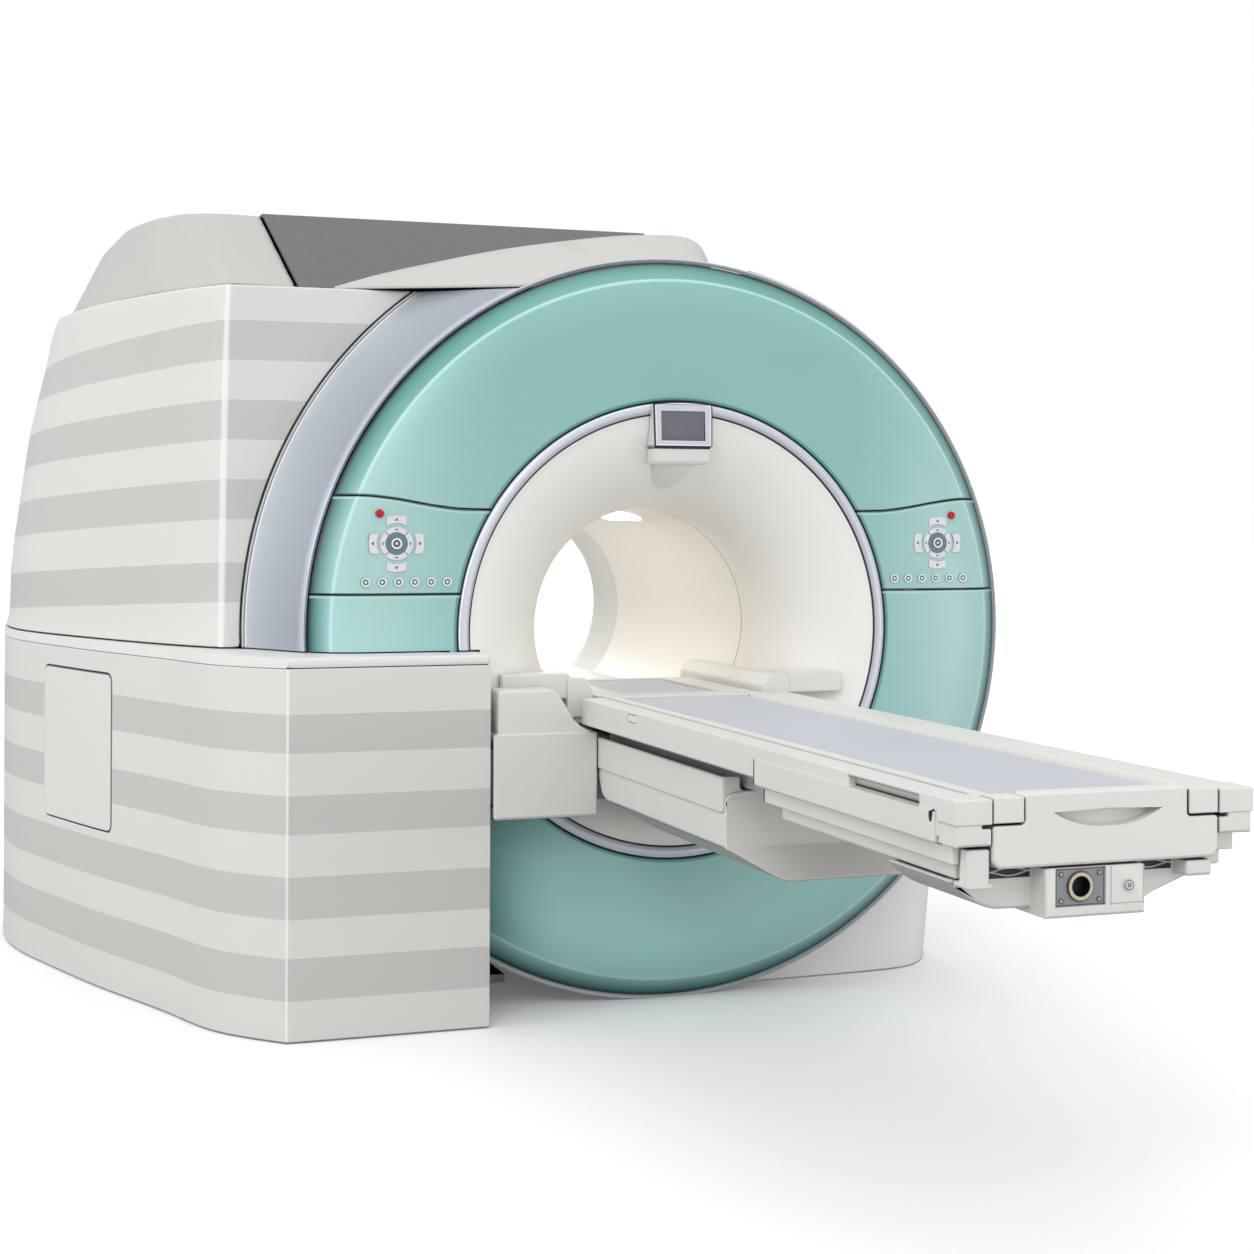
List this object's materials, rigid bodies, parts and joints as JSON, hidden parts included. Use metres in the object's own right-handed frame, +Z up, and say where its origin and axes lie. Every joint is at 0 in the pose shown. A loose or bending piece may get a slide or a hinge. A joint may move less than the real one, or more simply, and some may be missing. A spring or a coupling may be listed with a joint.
{
  "type": "mri scanner",
  "caption": "Horizontal-bore MRI scanner: a round teal-faced gantry in striped covers, with a lift pillar at its left and a cantilevered sliding patient table.",
  "frame": {"origin": "on the floor, straight below the isocentre, at the middle of the four anchor bolts of the magnet's feet", "axes": "+Z up; +Y from the front along the bore, the way a patient is taken in; +X to the right seen from the front"},
  "size_m": [2.8781, 4.202, 2.35],
  "materials": {
    "vessel_steel": "satin welded steel",
    "coil_former": "machined",
    "coil_resin": "cast resin over copper, weight as aluminium",
    "bore_liner": "smooth cream laminate",
    "teal_cover": "satin moulded, darker towards the rim",
    "silver_trim": "silver-blue satin paint",
    "drum_band_paint": "silver-blue satin",
    "funnel_white": "satin off-white",
    "key_grey": "satin keycaps",
    "stop_red": "glossy red",
    "display_shell": "satin silver-lilac",
    "display_glass": "dark glass",
    "bridge_white": "white paint",
    "lamp_lens": "milky lens",
    "cover_light": "satin, light grey with darker bands",
    "roof_grey": "dark grey satin",
    "cold_head_metal": "machined",
    "lift_steel": "grey paint",
    "table_white": "satin off-white",
    "frame_alloy": "extruded",
    "keel_grey": "satin light grey",
    "foot_grey": "satin light grey",
    "socket_metal": "brushed plate with a moulded ring",
    "release_cap": "cream",
    "mat_foam": "smooth grey-blue covered foam"
  },
  "bodies": {
    "gantry": {"magnet_vessel": "vessel_steel", "cold_mass": "coil_former", "gradient_coil": "coil_resin", "body_coil": "bore_liner", "face_panel_top": "teal_cover", "face_panel_left": "teal_cover", "face_panel_right": "teal_cover", "face_panel_bottom": "teal_cover", "trim_ring": "silver_trim", "drum_band": "drum_band_paint", "front_funnel": "funnel_white", "display_unit": "display_shell", "display_screen": "display_glass", "bore_bridge": "bridge_white", "bore_lamp": "lamp_lens", "left_base_cover": "cover_light", "left_cover": "cover_light", "right_cover": "cover_light", "front_base_cover": "cover_light", "pillar_lid": "cover_light", "left_hood": "cover_light", "top_arch_cover": "cover_light", "rear_cover": "cover_light", "roof_panel": "roof_grey", "cold_head": "cold_head_metal", "lift_column": "lift_steel"},
    "table": {"lift_carriage": "lift_steel", "crossbeam_cover": "table_white", "table_frame": "frame_alloy", "side_beam_left": "table_white", "side_beam_right": "table_white", "keel_cover": "keel_grey", "drive_cover": "keel_grey", "foot_housing": "foot_grey", "connector_socket": "socket_metal", "end_panel": "table_white"},
    "tabletop": {"tabletop": "table_white", "table_mat": "mat_foam"},
    "bore_carriage": {"bore_carriage": "table_white", "head_mat": "mat_foam"},
    "service_door": {"service_door": "cover_light"},
    "release_button": {"release_button": "release_cap"},
    "stop_left": {"stop_button_left": "stop_red"},
    "jog_left": {"jog_button_left": "key_grey"},
    "arrows_left": {"arrow_keys_left": "key_grey"},
    "key_left_1": {"key_left_1": "key_grey"},
    "key_left_2": {"key_left_2": "key_grey"},
    "key_left_3": {"key_left_3": "key_grey"},
    "key_left_4": {"key_left_4": "key_grey"},
    "key_left_5": {"key_left_5": "key_grey"},
    "key_left_6": {"key_left_6": "key_grey"},
    "stop_right": {"stop_button_right": "stop_red"},
    "jog_right": {"jog_button_right": "key_grey"},
    "arrows_right": {"arrow_keys_right": "key_grey"},
    "key_right_1": {"key_right_1": "key_grey"},
    "key_right_2": {"key_right_2": "key_grey"},
    "key_right_3": {"key_right_3": "key_grey"},
    "key_right_4": {"key_right_4": "key_grey"},
    "key_right_5": {"key_right_5": "key_grey"},
    "key_right_6": {"key_right_6": "key_grey"}
  },
  "joints": [
    {"name": "table_lift", "type": "slide", "parent": "gantry", "child": "table", "axis": [0, 0, 1], "range_m": [-0.35, 0]},
    {"name": "board_slide", "type": "slide", "parent": "table", "child": "tabletop", "axis": [0, 1, 0], "range_m": [0, 1.35]},
    {"name": "carriage_slide", "type": "slide", "parent": "gantry", "child": "bore_carriage", "axis": [0, 1, 0], "range_m": [0, 1.35]},
    {"name": "service_door_hinge", "type": "hinge", "parent": "gantry", "child": "service_door", "pos_m": [-1.6872, 0.1505, 0.7], "axis": [0, 0, -1], "range_deg": [0, 110]},
    {"name": "release_press", "type": "slide", "parent": "table", "child": "release_button", "axis": [0, 1, 0], "range_m": [0, 0.004], "stiffness_N_per_m": 1500, "springref_m": -0.002},
    {"name": "stop_left_press", "type": "slide", "parent": "gantry", "child": "stop_left", "axis": [0, 1, 0], "range_m": [0, 0.004], "stiffness_N_per_m": 2000, "springref_m": -0.002},
    {"name": "jog_left_press", "type": "slide", "parent": "gantry", "child": "jog_left", "axis": [0, 1, 0], "range_m": [0, 0.004], "stiffness_N_per_m": 1500, "springref_m": -0.002},
    {"name": "arrows_left_press", "type": "slide", "parent": "gantry", "child": "arrows_left", "axis": [0, 1, 0], "range_m": [0, 0.003], "stiffness_N_per_m": 1500, "springref_m": -0.002},
    {"name": "key_left_1_press", "type": "slide", "parent": "gantry", "child": "key_left_1", "axis": [0, 1, 0], "range_m": [0, 0.003], "stiffness_N_per_m": 1000, "springref_m": -0.002},
    {"name": "key_left_2_press", "type": "slide", "parent": "gantry", "child": "key_left_2", "axis": [0, 1, 0], "range_m": [0, 0.003], "stiffness_N_per_m": 1000, "springref_m": -0.002},
    {"name": "key_left_3_press", "type": "slide", "parent": "gantry", "child": "key_left_3", "axis": [0, 1, 0], "range_m": [0, 0.003], "stiffness_N_per_m": 1000, "springref_m": -0.002},
    {"name": "key_left_4_press", "type": "slide", "parent": "gantry", "child": "key_left_4", "axis": [0, 1, 0], "range_m": [0, 0.003], "stiffness_N_per_m": 1000, "springref_m": -0.002},
    {"name": "key_left_5_press", "type": "slide", "parent": "gantry", "child": "key_left_5", "axis": [0, 1, 0], "range_m": [0, 0.003], "stiffness_N_per_m": 1000, "springref_m": -0.002},
    {"name": "key_left_6_press", "type": "slide", "parent": "gantry", "child": "key_left_6", "axis": [0, 1, 0], "range_m": [0, 0.003], "stiffness_N_per_m": 1000, "springref_m": -0.002},
    {"name": "stop_right_press", "type": "slide", "parent": "gantry", "child": "stop_right", "axis": [0, 1, 0], "range_m": [0, 0.004], "stiffness_N_per_m": 2000, "springref_m": -0.002},
    {"name": "jog_right_press", "type": "slide", "parent": "gantry", "child": "jog_right", "axis": [0, 1, 0], "range_m": [0, 0.004], "stiffness_N_per_m": 1500, "springref_m": -0.002},
    {"name": "arrows_right_press", "type": "slide", "parent": "gantry", "child": "arrows_right", "axis": [0, 1, 0], "range_m": [0, 0.003], "stiffness_N_per_m": 1500, "springref_m": -0.002},
    {"name": "key_right_1_press", "type": "slide", "parent": "gantry", "child": "key_right_1", "axis": [0, 1, 0], "range_m": [0, 0.003], "stiffness_N_per_m": 1000, "springref_m": -0.002},
    {"name": "key_right_2_press", "type": "slide", "parent": "gantry", "child": "key_right_2", "axis": [0, 1, 0], "range_m": [0, 0.003], "stiffness_N_per_m": 1000, "springref_m": -0.002},
    {"name": "key_right_3_press", "type": "slide", "parent": "gantry", "child": "key_right_3", "axis": [0, 1, 0], "range_m": [0, 0.003], "stiffness_N_per_m": 1000, "springref_m": -0.002},
    {"name": "key_right_4_press", "type": "slide", "parent": "gantry", "child": "key_right_4", "axis": [0, 1, 0], "range_m": [0, 0.003], "stiffness_N_per_m": 1000, "springref_m": -0.002},
    {"name": "key_right_5_press", "type": "slide", "parent": "gantry", "child": "key_right_5", "axis": [0, 1, 0], "range_m": [0, 0.003], "stiffness_N_per_m": 1000, "springref_m": -0.002},
    {"name": "key_right_6_press", "type": "slide", "parent": "gantry", "child": "key_right_6", "axis": [0, 1, 0], "range_m": [0, 0.003], "stiffness_N_per_m": 1000, "springref_m": -0.002}
  ],
  "couplings": [
    {"joint": "carriage_slide", "follows": "board_slide", "ratio": 1}
  ]
}
